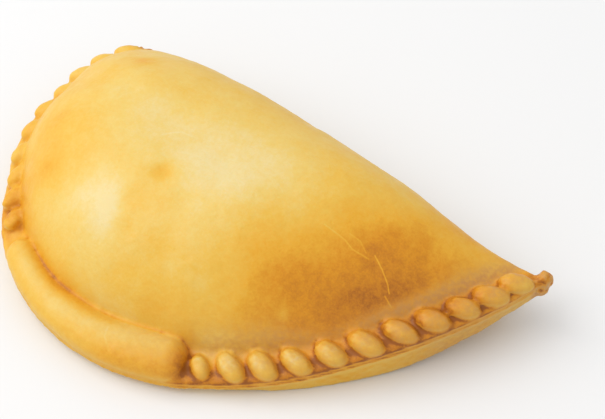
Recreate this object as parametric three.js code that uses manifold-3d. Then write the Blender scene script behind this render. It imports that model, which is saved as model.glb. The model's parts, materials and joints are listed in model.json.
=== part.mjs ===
// A savoury hand pie: a disc of dough folded over its filling and baked.
// Its curved side is closed by a seam. The seam is crimped into a rope of plump
// beads on the left and on the right, and folded over into one smooth roll at the
// front. The fold is the straight, rounded side at the back.
// Millimetres. +X runs along the fold to the pointed tip, -Y to the front, +Z up.
// The pie lies flat, and the origin is the middle of its box, on the ground.

import * as THREE from 'three';
import { mergeVertices } from 'three/addons/utils/BufferGeometryUtils.js';
import Module from 'manifold-3d';

// ---------------------------------------------------------------- driving sizes

const HEIGHT = 37; // ground to the top of the dome

// Plan of the seam, seen from above, about the centre of its round side.
const ROUND_RADIUS = 60.5; // the round front and left side
const BLUNT_ANGLE = THREE.MathUtils.degToRad(153.5); // where the seam starts, at the blunt tip
const RUNOUT_ANGLE = THREE.MathUtils.degToRad(304); // where it leaves the circle for the sharp tip
const TIP_X = 89.8; // the sharp tip, from the centre of the round side
const TIP_Y = 30;
// How far the edge stands outside the circle, or inside it: [place along the seam, millimetres].
const EDGE_SWELL = [
  [0, 0.8], [0.08, 0.8], [0.105, -0.2], [0.13, -0.9], [0.16, -0.3], [0.2, -0.3],
  [0.225, -0.5], [0.25, -1.2], [0.275, -0.8], [0.3, -0.4], [0.34, 0], [1, 0],
];
// How far the fold bows out between the tips: [place from the blunt tip, millimetres].
const FOLD_BOW = [[0, 0], [0.15, 1.6], [0.4, 2.6], [0.65, 1.5], [0.85, -0.4], [1, 0]];

// Along the seam, 0 is the blunt tip and 1 the sharp tip: [place, millimetres].
const SEAM_HEIGHT = [
  [0, 13.3], [0.13, 13], [0.24, 10.5], [0.34, 7.5], [0.46, 5.5],
  [0.6, 5.3], [0.7, 7.5], [0.8, 12], [0.9, 14.9], [1, 16.3],
];
const SHELF_WIDTH = [
  [0, 3.8], [0.15, 3.8], [0.26, 4.6], [0.36, 7.6], [0.42, 8.2], [0.46, 9.4],
  [0.5, 10.4], [0.56, 11.2], [0.6, 10.2], [0.68, 7.8], [1, 7.2],
];
const SHELF_RISE = 2;
const SEAM_THICKNESS = 3; // two layers of dough

// The dome climbs from the shelf: steep at the left and front, gentler to the sharp tip.
const FLANK_WIDTH = [[0, 40], [0.6, 40], [0.8, 46], [1, 52]];
const FLANK_ROUNDNESS = [[0, 1.45], [0.6, 1.4], [0.78, 1.15], [1, 1]];
const FLANK_POWER = 2.4;

// The folded side: a round nose. Along the fold, 0 is the blunt tip and 1 the sharp one.
const NOSE_HEIGHT = [
  [0, 13], [0.1, 12.3], [0.3, 12], [0.7, 12], [0.85, 13], [0.94, 14.8], [1, 16.3],
];
const NOSE_DEPTH = 33;
const NOSE_POWER = 2.3;
const UNDER_NOSE_DEPTH = 15;
const TIP_LIFT = [[0, 6], [0.05, 2], [0.12, 0], [0.8, 0], [0.9, 2], [1, 10.5]];

// Below the seam the base goes down to the ground this far inside the edge.
const BASE_INSET = [
  [0, 4], [0.3, 3], [0.6, 2.4], [0.7, 1.5], [0.78, 1.4], [0.84, 1.2], [0.9, 1.5], [1, 0.8],
];
const BASE_POWER = 2.2;

// Broad, shallow unevenness of the dome: [height, waves per mm in x, in y, phase].
const DOME_WAVES = [[0.45, 0.075, 0.04, 0.6], [0.35, -0.05, 0.11, 2.1], [0.3, 0.13, -0.06, 4.0]];

// The crimp: beads that lie slantwise over the seam, inner end high.
const BEAD_LENGTH = 9.6;
const BEAD_WIDTH = 5.8;
const BEAD_HEIGHT = 5;
const BEAD_DIP = THREE.MathUtils.degToRad(6); // outer end down
const BEAD_UNEVENNESS = 0.07;
const BEAD_CROWDING = 0.013; // they sit a little closer together at each row's ends
// Each row's yaw from the seam's direction, in degrees, and its inset from the edge, in
// millimetres, are given at shares of the row. Its first and last beads are smaller.
const LEFT_BEADS = {
  count: 10, from: 0.022, to: 0.31, lift: 2, firstScale: 0.9, lastScale: 0.85,
  inset: [[0, 3.8], [1, 4]],
  yaw: [[0, 38], [1, 38]],
};
const RIGHT_BEADS = {
  count: 11, from: 0.626, to: 0.968, lift: 1.8, firstScale: 0.75, lastScale: 0.95,
  inset: [[0, 4], [0.4, 3.4], [0.6, 3.8], [0.8, 3.3], [1, 2.7]],
  yaw: [[0, 70], [0.1, 54], [0.2, 47], [0.4, 44], [0.5, 40], [0.6, 36], [0.8, 34], [1, 34]],
};

// The roll: the seam's lip turned over once, at the front, and wider to the right.
const ROLL = { from: 0.339, to: 0.612, overhang: 0.3, lift: 1.2, flatness: 0.5, halfHeight: 1.85, end: 6 };
const ROLL_HALF_WIDTH = [[0.339, 4.6], [0.4, 5], [0.45, 6], [0.5, 6.5], [0.56, 6.9], [0.612, 6.6]];

// The pinched ends of the seam.
const SHARP_KNOB = { x: 1.9, y: 2.7, z: 4.3, height: 13.6, inset: 0.9 };
const BLUNT_KNOB = { x: 3, y: 2.8, z: 2.4, height: 11.4, inset: 4 };

// Mesh density.
const SEAM_STEPS = 92;
const FOLD_STEPS = 36;
const TOP_RINGS = 15;
const BASE_RINGS = 6;
const BASE_REACH = 0.35; // the base is flat from this share of the way in
const RING_POWER = 1.75; // rings crowd towards the outline
const ROLL_STEPS = 26;
const ROLL_SIDES = 14;
const BEAD_SEGMENTS = 10;
const BEAD_RINGS = 7;

const BAKED_CRUST = new THREE.MeshStandardMaterial({ color: 0xe9b55c, roughness: 0.55, metalness: 0 });

// ---------------------------------------------------------------- small helpers

function clamp01(value) {
  return Math.min(Math.max(value, 0), 1);
}

// Smooth curve through [place, value] stations, with slopes from their neighbours.
function along(stations, place) {
  const last = stations.length - 1;
  const x = Math.min(Math.max(place, stations[0][0]), stations[last][0]);
  let i = 0;
  while (i < last - 1 && x > stations[i + 1][0]) {
    i += 1;
  }
  const slope = (k) => {
    const a = stations[Math.max(k - 1, 0)];
    const b = stations[Math.min(k + 1, last)];
    return (b[1] - a[1]) / (b[0] - a[0]);
  };
  const [x0, y0] = stations[i];
  const [x1, y1] = stations[i + 1];
  const h = x1 - x0;
  const t = (x - x0) / h;
  const u = 1 - t;
  const ends = y0 * (1 + 2 * t) * u * u + y1 * t * t * (3 - 2 * t);
  return ends + slope(i) * h * t * u * u + slope(i + 1) * h * t * t * (t - 1);
}

// Repeatable pseudo-random number in -1..1 for a whole number.
function jitter(n) {
  const s = Math.sin(n * 12.9898 + 4.1414) * 43758.5453;
  return 2 * (s - Math.floor(s)) - 1;
}

// An angle in the turn that starts at 60 degrees, which never splits the seam.
function wrapAngle(angle) {
  const start = Math.PI / 3;
  const turn = 2 * Math.PI;
  return ((((angle - start) % turn) + turn) % turn) + start;
}

// Closed solid through equal rings of points, listed from the lowest to the highest,
// each ring counterclockwise seen from above, with a fan to a point at either end.
function loft(rings, startPoint, endPoint) {
  const size = rings[0].length;
  const points = [startPoint, ...rings.flat(), endPoint];
  const end = points.length - 1;
  const at = (ring, k) => 1 + ring * size + (k % size);
  const faces = [];
  for (let k = 0; k < size; k += 1) {
    faces.push(0, at(0, k + 1), at(0, k));
    faces.push(end, at(rings.length - 1, k), at(rings.length - 1, k + 1));
    for (let ring = 0; ring < rings.length - 1; ring += 1) {
      faces.push(at(ring, k), at(ring, k + 1), at(ring + 1, k + 1));
      faces.push(at(ring, k), at(ring + 1, k + 1), at(ring + 1, k));
    }
  }
  const geometry = new THREE.BufferGeometry();
  const flat = points.flatMap((p) => [p.x, p.y, p.z]);
  geometry.setAttribute('position', new THREE.Float32BufferAttribute(flat, 3));
  geometry.setIndex(faces);
  return geometry;
}

// ---------------------------------------------------------------- plan of the pie

// The run-out is an arc that leaves the circle smoothly and ends at the sharp tip.
function makePlan() {
  const outward = new THREE.Vector2(Math.cos(RUNOUT_ANGLE), Math.sin(RUNOUT_ANGLE));
  const leave = outward.clone().multiplyScalar(ROUND_RADIUS);
  const tip = new THREE.Vector2(TIP_X, TIP_Y);
  const chord = tip.clone().sub(leave);
  const halfTurn = chord.angle() + 2 * Math.PI - (RUNOUT_ANGLE + Math.PI / 2);
  const runRadius = chord.length() / (2 * Math.sin(halfTurn));
  const runCentre = leave.clone().addScaledVector(outward, -runRadius);
  const arcLength = ROUND_RADIUS * (RUNOUT_ANGLE - BLUNT_ANGLE);
  const length = arcLength + runRadius * 2 * halfTurn;
  return { tip, runRadius, runCentre, arcLength, length };
}

const PLAN = makePlan();

function edgeRadius(place) {
  return ROUND_RADIUS + along(EDGE_SWELL, place);
}

// Point of the seam's edge and its outward direction, at a place from 0 to 1.
function seamAt(place) {
  const s = place * PLAN.length;
  const onRound = s <= PLAN.arcLength;
  const angle = onRound
    ? BLUNT_ANGLE + s / ROUND_RADIUS
    : RUNOUT_ANGLE + (s - PLAN.arcLength) / PLAN.runRadius;
  const outward = new THREE.Vector2(Math.cos(angle), Math.sin(angle));
  const point = onRound
    ? outward.clone().multiplyScalar(edgeRadius(place))
    : PLAN.runCentre.clone().addScaledVector(outward, PLAN.runRadius);
  return { point, outward };
}

// How far a plan point lies inside the seam's edge, and the place it faces.
function fromSeam(x, y) {
  const angle = wrapAngle(Math.atan2(y, x));
  if (angle <= RUNOUT_ANGLE) {
    const place = clamp01((ROUND_RADIUS * (angle - BLUNT_ANGLE)) / PLAN.length);
    return { depth: edgeRadius(place) - Math.hypot(x, y), place };
  }
  const dx = x - PLAN.runCentre.x;
  const dy = y - PLAN.runCentre.y;
  const run = PLAN.runRadius * (wrapAngle(Math.atan2(dy, dx)) - RUNOUT_ANGLE);
  return { depth: PLAN.runRadius - Math.hypot(dx, dy), place: clamp01((PLAN.arcLength + run) / PLAN.length) };
}

const FOLD_START = seamAt(0).point;
const FOLD_CHORD = PLAN.tip.clone().sub(FOLD_START);
const FOLD_LENGTH = FOLD_CHORD.length();
const FOLD_DIRECTION = FOLD_CHORD.clone().normalize();
const FOLD_OUTWARD = new THREE.Vector2(-FOLD_DIRECTION.y, FOLD_DIRECTION.x);

function foldBow(place) {
  return along(FOLD_BOW, place);
}

// How far a plan point lies inside the fold, and its place from the blunt tip, 0 to 1.
function fromFold(x, y) {
  const offset = new THREE.Vector2(x, y).sub(FOLD_START);
  const place = offset.dot(FOLD_DIRECTION) / FOLD_LENGTH;
  return { depth: foldBow(place) - offset.dot(FOLD_OUTWARD), place };
}

// ---------------------------------------------------------------- heights

function topHeight(x, y) {
  const seam = fromSeam(x, y);
  const fold = fromFold(x, y);
  const shelf = along(SHELF_WIDTH, seam.place);
  const foot = along(SEAM_HEIGHT, seam.place) + SHELF_RISE * clamp01(seam.depth / shelf);
  const t = clamp01((seam.depth - shelf) / along(FLANK_WIDTH, seam.place));
  const climb = (1 - (1 - t) ** FLANK_POWER) ** (1 / along(FLANK_ROUNDNESS, seam.place));
  const waves = DOME_WAVES.reduce((sum, [h, fx, fy, p]) => sum + h * Math.sin(fx * x + fy * y + p), 0);
  const dome = foot + (HEIGHT - foot) * climb + waves * climb * (1 - 0.6 * climb);
  const nose = Math.min(along(NOSE_HEIGHT, fold.place), dome);
  const g = clamp01(fold.depth / NOSE_DEPTH);
  return nose + (dome - nose) * Math.sqrt(1 - (1 - g) ** NOSE_POWER);
}

function baseHeight(x, y) {
  const seam = fromSeam(x, y);
  const fold = fromFold(x, y);
  const lip = Math.max(along(SEAM_HEIGHT, seam.place) - SEAM_THICKNESS, 0);
  const t = clamp01(seam.depth / along(BASE_INSET, seam.place));
  const underSeam = lip * Math.sqrt(1 - t ** BASE_POWER);
  const g = clamp01(fold.depth / UNDER_NOSE_DEPTH);
  const underNose = along(NOSE_HEIGHT, fold.place) * (1 - Math.sqrt(1 - (1 - g) ** NOSE_POWER));
  const lifted = Math.max(along(TIP_LIFT, fold.place), 0);
  return Math.min(Math.max(underSeam, underNose, lifted), topHeight(x, y) - 0.6);
}

// ---------------------------------------------------------------- pieces of dough

function outlinePoints() {
  const points = [];
  for (let i = 0; i <= SEAM_STEPS; i += 1) {
    points.push(seamAt(i / SEAM_STEPS).point);
  }
  for (let i = 1; i < FOLD_STEPS; i += 1) {
    const place = 1 - i / FOLD_STEPS;
    const onChord = FOLD_START.clone().addScaledVector(FOLD_CHORD, place);
    points.push(onChord.addScaledVector(FOLD_OUTWARD, foldBow(place)));
  }
  return points;
}

function makeBody() {
  const outline = outlinePoints();
  const middle = new THREE.Vector2(4, -2);
  const ringAt = (share, height) =>
    outline.map((p) => {
      const q = p.clone().lerp(middle, share);
      return new THREE.Vector3(q.x, q.y, height(q.x, q.y));
    });
  const rings = [];
  for (let i = BASE_RINGS - 1; i >= 0; i -= 1) {
    rings.push(ringAt(BASE_REACH * (i / (BASE_RINGS - 1)) ** RING_POWER, baseHeight));
  }
  for (let i = 0; i < TOP_RINGS; i += 1) {
    rings.push(ringAt((i / TOP_RINGS) ** RING_POWER, topHeight));
  }
  const under = new THREE.Vector3(middle.x, middle.y, 0);
  const summit = new THREE.Vector3(middle.x, middle.y, topHeight(middle.x, middle.y));
  return loft(rings, under, summit);
}

// One bead of the crimp: an egg laid slantwise over the seam.
function makeBead(row, share, scale, index) {
  const place = row.from + (row.to - row.from) * share;
  const { point, outward } = seamAt(place);
  const forward = new THREE.Vector2(-outward.y, outward.x);
  const unevenYaw = 1 + BEAD_UNEVENNESS * jitter(index + 31);
  const yaw = THREE.MathUtils.degToRad(along(row.yaw, share)) * unevenYaw;
  const flat = forward.multiplyScalar(Math.cos(yaw)).addScaledVector(outward, Math.sin(yaw));
  const length = new THREE.Vector3(
    flat.x * Math.cos(BEAD_DIP),
    flat.y * Math.cos(BEAD_DIP),
    -Math.sin(BEAD_DIP),
  );
  const side = new THREE.Vector3(-flat.y, flat.x, 0);
  const up = new THREE.Vector3().crossVectors(length, side);
  const uneven = (n) => scale * (1 + BEAD_UNEVENNESS * jitter(index * 3 + n));
  const bead = new THREE.SphereGeometry(0.5, BEAD_SEGMENTS, BEAD_RINGS);
  bead.scale(BEAD_LENGTH * uneven(0), BEAD_WIDTH * uneven(1), BEAD_HEIGHT * uneven(2));
  bead.applyMatrix4(new THREE.Matrix4().makeBasis(length, side, up));
  const inset = along(row.inset, share);
  const height = along(SEAM_HEIGHT, place) + row.lift;
  bead.translate(point.x - outward.x * inset, point.y - outward.y * inset, height);
  return bead;
}

function makeBeads(row, seed) {
  const beads = [];
  for (let i = 0; i < row.count; i += 1) {
    const even = i / (row.count - 1);
    const share = even - BEAD_CROWDING * Math.sin(2 * Math.PI * even);
    let scale = 1;
    if (i === 0) {
      scale = row.firstScale;
    } else if (i === row.count - 1) {
      scale = row.lastScale;
    }
    beads.push(makeBead(row, share, scale, seed + i));
  }
  return beads;
}

// The smooth roll: a flattened sausage with round ends that follows the seam.
function makeRoll() {
  const span = (ROLL.to - ROLL.from) * PLAN.length;
  const rings = [];
  const centreAt = (share) => {
    const place = ROLL.from + (ROLL.to - ROLL.from) * share;
    const { point, outward } = seamAt(place);
    const halfWidth = along(ROLL_HALF_WIDTH, place);
    const centre = point.clone().addScaledVector(outward, ROLL.overhang - halfWidth);
    const at = new THREE.Vector3(centre.x, centre.y, along(SEAM_HEIGHT, place) + ROLL.lift);
    return { outward, halfWidth, at };
  };
  for (let i = 1; i < ROLL_STEPS; i += 1) {
    const share = (1 - Math.cos((Math.PI * i) / ROLL_STEPS)) / 2;
    const toEnd = Math.min(share, 1 - share) * span;
    const girth = Math.sqrt(1 - (1 - Math.min(toEnd / ROLL.end, 1)) ** 2);
    const { outward, halfWidth, at } = centreAt(share);
    const halfHeight = ROLL.halfHeight + ROLL.flatness * halfWidth;
    const ring = [];
    for (let k = 0; k < ROLL_SIDES; k += 1) {
      const a = (2 * Math.PI * k) / ROLL_SIDES;
      const across = halfWidth * girth * Math.cos(a);
      const rise = -halfHeight * girth * Math.sin(a);
      ring.push(new THREE.Vector3(at.x + outward.x * across, at.y + outward.y * across, at.z + rise));
    }
    rings.push(ring);
  }
  return loft(rings, centreAt(0).at, centreAt(1).at);
}

function makeKnob(knob, place) {
  const { point, outward } = seamAt(place);
  const bump = new THREE.IcosahedronGeometry(1, 2);
  bump.scale(knob.x, knob.y, knob.z);
  bump.translate(point.x - outward.x * knob.inset, point.y - outward.y * knob.inset, knob.height);
  return bump;
}

// ---------------------------------------------------------------- one solid

const wasm = await Module();
wasm.setup();

function toSolid(geometry) {
  const bare = geometry.clone();
  bare.deleteAttribute('normal');
  bare.deleteAttribute('uv');
  const merged = mergeVertices(bare, 1e-4);
  return new wasm.Manifold(
    new wasm.Mesh({
      numProp: 3,
      vertProperties: new Float32Array(merged.attributes.position.array),
      triVerts: new Uint32Array(merged.index.array),
    }),
  );
}

function toGeometry(solid) {
  const mesh = solid.getMesh();
  const geometry = new THREE.BufferGeometry();
  geometry.setAttribute('position', new THREE.BufferAttribute(mesh.vertProperties, 3));
  geometry.setIndex(new THREE.BufferAttribute(mesh.triVerts, 1));
  return geometry;
}

const doughPieces = [
  makeRoll(),
  ...makeBeads(LEFT_BEADS, 1),
  ...makeBeads(RIGHT_BEADS, 21),
  makeKnob(SHARP_KNOB, 1),
  makeKnob(BLUNT_KNOB, 0),
];
const dough = doughPieces.reduce((solid, piece) => solid.add(toSolid(piece)), toSolid(makeBody()));
const pieGeometry = toGeometry(dough);

// The origin is the middle of the pie's box, on the ground.
pieGeometry.computeBoundingBox();
const middle = pieGeometry.boundingBox.getCenter(new THREE.Vector3());
pieGeometry.translate(-middle.x, -middle.y, -pieGeometry.boundingBox.min.z);
pieGeometry.computeVertexNormals();

const pie = new THREE.Mesh(pieGeometry, BAKED_CRUST);
pie.name = 'pie';

const handPie = new THREE.Group();
handPie.name = 'hand_pie';
handPie.add(pie);

export default handPie;
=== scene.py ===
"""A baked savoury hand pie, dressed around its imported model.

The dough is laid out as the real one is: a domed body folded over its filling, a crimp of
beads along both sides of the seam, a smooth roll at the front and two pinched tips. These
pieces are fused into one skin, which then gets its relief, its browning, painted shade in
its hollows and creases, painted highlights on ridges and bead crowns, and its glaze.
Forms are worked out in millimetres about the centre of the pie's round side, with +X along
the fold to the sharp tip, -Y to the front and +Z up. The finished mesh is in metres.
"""

import json
import logging
import math
from dataclasses import dataclass, field
from enum import Enum
from typing import Any

import bpy
import numpy as np
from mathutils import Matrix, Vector, noise

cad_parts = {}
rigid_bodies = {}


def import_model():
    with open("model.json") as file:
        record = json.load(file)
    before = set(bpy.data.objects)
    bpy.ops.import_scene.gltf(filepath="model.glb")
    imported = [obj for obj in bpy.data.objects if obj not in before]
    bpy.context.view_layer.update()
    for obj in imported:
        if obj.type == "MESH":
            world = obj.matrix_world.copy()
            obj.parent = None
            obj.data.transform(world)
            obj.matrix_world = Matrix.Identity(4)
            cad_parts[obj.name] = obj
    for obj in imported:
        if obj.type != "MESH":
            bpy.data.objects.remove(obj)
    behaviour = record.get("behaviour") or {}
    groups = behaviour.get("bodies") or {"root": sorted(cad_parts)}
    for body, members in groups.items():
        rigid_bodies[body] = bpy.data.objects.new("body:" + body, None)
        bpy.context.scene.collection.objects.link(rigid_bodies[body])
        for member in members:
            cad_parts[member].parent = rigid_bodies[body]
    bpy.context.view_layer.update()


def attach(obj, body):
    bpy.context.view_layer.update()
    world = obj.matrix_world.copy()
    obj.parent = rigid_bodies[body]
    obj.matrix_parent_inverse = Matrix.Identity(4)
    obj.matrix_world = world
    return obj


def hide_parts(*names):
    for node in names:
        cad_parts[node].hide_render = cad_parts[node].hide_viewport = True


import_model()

LOG = logging.getLogger("hand_pie")
MM = 0.001
NODE = "pie"
# Folds round the inner end of each bead.
PLEATS = 9.0

Stations = tuple[tuple[float, float], ...]
Rings = list[np.ndarray]
Faces = list[tuple[int, ...]]


# ------------------------------------------------------------------ shared arithmetic


def smooth_step(low: float, high: float, value: np.ndarray) -> np.ndarray:
    """Rise smoothly from 0 at low to 1 at high."""
    t = np.clip((value - low) / (high - low), 0.0, 1.0)
    return t * t * (3.0 - 2.0 * t)


def along(stations: Stations, place: np.ndarray) -> np.ndarray:
    """Follow a smooth curve through named stations.

    Args:
        stations: Pairs of place and value, in order.
        place: Where to read the curve; beyond its ends it keeps their values.

    Returns:
        The curve's value at each place.
    """
    x, y = np.array(stations, float).T
    slope = np.empty_like(y)
    slope[1:-1] = (y[2:] - y[:-2]) / (x[2:] - x[:-2])
    slope[0] = (y[1] - y[0]) / (x[1] - x[0])
    slope[-1] = (y[-1] - y[-2]) / (x[-1] - x[-2])
    at = np.clip(place, x[0], x[-1])
    i = np.clip(np.searchsorted(x, at) - 1, 0, len(x) - 2)
    h = x[i + 1] - x[i]
    t = (at - x[i]) / h
    u = 1.0 - t
    ends = y[i] * (1 + 2 * t) * u * u + y[i + 1] * t * t * (3 - 2 * t)
    return ends + slope[i] * h * t * u * u + slope[i + 1] * h * t * t * (t - 1)


def bell(value: np.ndarray, middle: float, width: float) -> np.ndarray:
    """Peak at 1 at the middle and fall off smoothly over the width."""
    return np.exp(-(((value - middle) / width) ** 2))


def wrap_angle(angle: np.ndarray) -> np.ndarray:
    """Bring angles into the turn that starts at 60 degrees, which never splits the seam."""
    start = math.pi / 3
    return np.mod(angle - start, 2 * math.pi) + start


def noise_field(points: np.ndarray, wavelength: float, seed: int, octaves: int = 1) -> np.ndarray:
    """Read smooth repeatable noise.

    Args:
        points: Places in millimetres, one a row.
        wavelength: Size of the largest lumps, in millimetres.
        seed: Moves the pattern.
        octaves: How many finer layers are added, each half as strong.

    Returns:
        Values of about -1 to 1, one for each point.
    """
    shifted = points / wavelength + 17.31 * seed
    if octaves == 1:
        return np.array([noise.noise(p) for p in shifted])
    return np.array([noise.fractal(p, 1.0, 2.0, octaves) for p in shifted])


# ------------------------------------------------------------------ meshes


def place_object(name: str, data: bpy.types.ID) -> bpy.types.Object:
    """Put new data into the scene as an object."""
    made = bpy.data.objects.new(name, data)
    bpy.context.scene.collection.objects.link(made)
    return made


def new_mesh_object(name: str, points: np.ndarray, faces: Faces) -> bpy.types.Object:
    """Make a linked mesh object from points in millimetres and faces."""
    mesh = bpy.data.meshes.new(name)
    mesh.from_pydata((points * MM).tolist(), [], faces)
    mesh.update()
    return place_object(name, mesh)


def loft(name: str, rings: Rings, start: np.ndarray, end: np.ndarray) -> bpy.types.Object:
    """Close a skin over equal rings of points, with a fan to a point at either end.

    Args:
        name: The object's name.
        rings: Rings from the lowest to the highest, counterclockwise seen from above.
        start: The point below the first ring.
        end: The point above the last ring.

    Returns:
        The closed mesh object, its faces outward.
    """
    size = len(rings[0])
    points = np.vstack([start[None, :], *rings, end[None, :]])
    last = len(points) - 1
    faces: Faces = []
    for k in range(size):
        n = (k + 1) % size
        top = 1 + (len(rings) - 1) * size
        faces.append((0, 1 + n, 1 + k))
        faces.append((last, top + k, top + n))
        for ring in range(len(rings) - 1):
            low = 1 + ring * size
            high = low + size
            faces.append((low + k, low + n, high + n, high + k))
    return new_mesh_object(name, points, faces)


def evaluated_copy(source: bpy.types.Object, name: str) -> bpy.types.Object:
    """Turn an object with modifiers into a plain mesh object, and remove the source."""
    bpy.context.view_layer.update()
    graph = bpy.context.evaluated_depsgraph_get()
    mesh = bpy.data.meshes.new_from_object(source.evaluated_get(graph), depsgraph=graph)
    mesh.name = name
    bpy.data.objects.remove(source)
    return place_object(name, mesh)


def read_points(mesh: bpy.types.Mesh) -> np.ndarray:
    """Read a mesh's vertices in millimetres."""
    flat = np.empty(len(mesh.vertices) * 3)
    mesh.vertices.foreach_get("co", flat)
    return flat.reshape(-1, 3) / MM


def read_normals(mesh: bpy.types.Mesh) -> np.ndarray:
    """Read a mesh's vertex normals."""
    flat = np.empty(len(mesh.vertices) * 3)
    mesh.vertex_normals.foreach_get("vector", flat)
    return flat.reshape(-1, 3)


def write_points(mesh: bpy.types.Mesh, points: np.ndarray) -> None:
    """Move a mesh's vertices to points in millimetres."""
    mesh.vertices.foreach_set("co", (points * MM).astype(np.float32).ravel())
    mesh.update()


def write_attribute(mesh: bpy.types.Mesh, name: str, values: np.ndarray) -> None:
    """Store one number for each vertex under a name."""
    layer = mesh.attributes.new(name, "FLOAT", "POINT")
    layer.data.foreach_set("value", values.astype(np.float32))


@dataclass
class Neighbours:
    """Who sits next to whom on a mesh, for averaging along its surface."""

    mesh: bpy.types.Mesh
    a: np.ndarray = field(init=False)
    b: np.ndarray = field(init=False)
    count: np.ndarray = field(init=False)

    def __post_init__(self) -> None:
        """Read the mesh's edges once."""
        pairs = np.empty(len(self.mesh.edges) * 2, np.int64)
        self.mesh.edges.foreach_get("vertices", pairs)
        self.a, self.b = pairs.reshape(-1, 2).T
        ends = np.concatenate([self.a, self.b])
        self.count = np.bincount(ends, minlength=len(self.mesh.vertices))

    def average(self, values: np.ndarray, rounds: int) -> np.ndarray:
        """Blur values over the surface.

        Args:
            values: One number or one row for each vertex.
            rounds: How many times each vertex takes its neighbours' mean.

        Returns:
            The blurred values, shaped as they came.
        """
        size = len(self.count)
        columns = values.reshape(size, -1).copy()
        for _ in range(rounds):
            for c in range(columns.shape[1]):
                total = np.bincount(self.a, columns[self.b, c], size)
                total += np.bincount(self.b, columns[self.a, c], size)
                columns[:, c] = 0.5 * columns[:, c] + 0.5 * total / self.count
        return columns.reshape(values.shape)


# ------------------------------------------------------------------ node trees


def pick_socket(sockets: Any, key: str | int) -> bpy.types.NodeSocket:
    """Find a socket by its place, or the one in use among those of a name."""
    if isinstance(key, int):
        return sockets[key]
    return next(s for s in sockets if s.name == key and s.enabled)


@dataclass(frozen=True)
class Nodes:
    """A node tree, with short ways to add to it."""

    tree: bpy.types.NodeTree

    def add(self, kind: str, inputs: dict[str | int, Any], **settings: Any) -> bpy.types.Node:
        """Add a node.

        Args:
            kind: The node's type.
            inputs: Socket names or places, each with a value or a socket to link from.
            **settings: Properties of the node, such as its operation.

        Returns:
            The new node.
        """
        node = self.tree.nodes.new(kind)
        for name, value in settings.items():
            setattr(node, name, value)
        for key, value in inputs.items():
            socket = pick_socket(node.inputs, key)
            if isinstance(value, bpy.types.NodeSocket):
                self.tree.links.new(value, socket)
            else:
                socket.default_value = value
        return node

    def math(self, operation: str, *inputs: Any, clamp: bool = False) -> bpy.types.NodeSocket:
        """Combine numbers by one operation and return the result's socket."""
        values = dict(enumerate(inputs))
        return self.add("ShaderNodeMath", values, operation=operation, use_clamp=clamp).outputs[0]

    def vector(self, operation: str, *inputs: Any, result: str = "Vector") -> bpy.types.NodeSocket:
        """Combine vectors by one operation and return the result's socket."""
        values = dict(enumerate(inputs))
        return self.add("ShaderNodeVectorMath", values, operation=operation).outputs[result]

    def scaled(self, vector: Any, factor: Any) -> bpy.types.NodeSocket:
        """Lengthen a vector by a factor."""
        values = {0: vector, "Scale": factor}
        return self.add("ShaderNodeVectorMath", values, operation="SCALE").outputs[0]

    def xyz(self, x: Any, y: Any, z: Any) -> bpy.types.NodeSocket:
        """Put three numbers together as a vector."""
        return self.add("ShaderNodeCombineXYZ", {0: x, 1: y, 2: z}).outputs[0]

    def ramp(self, factor: Any, low: float, high: float) -> bpy.types.NodeSocket:
        """Rise smoothly from 0 to 1 as a number goes from low to high."""
        values = {"Value": factor, "From Min": low, "From Max": high}
        node = self.add("ShaderNodeMapRange", values, interpolation_type="SMOOTHSTEP", clamp=True)
        return node.outputs["Result"]


# ------------------------------------------------------------------ plan and heights


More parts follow.
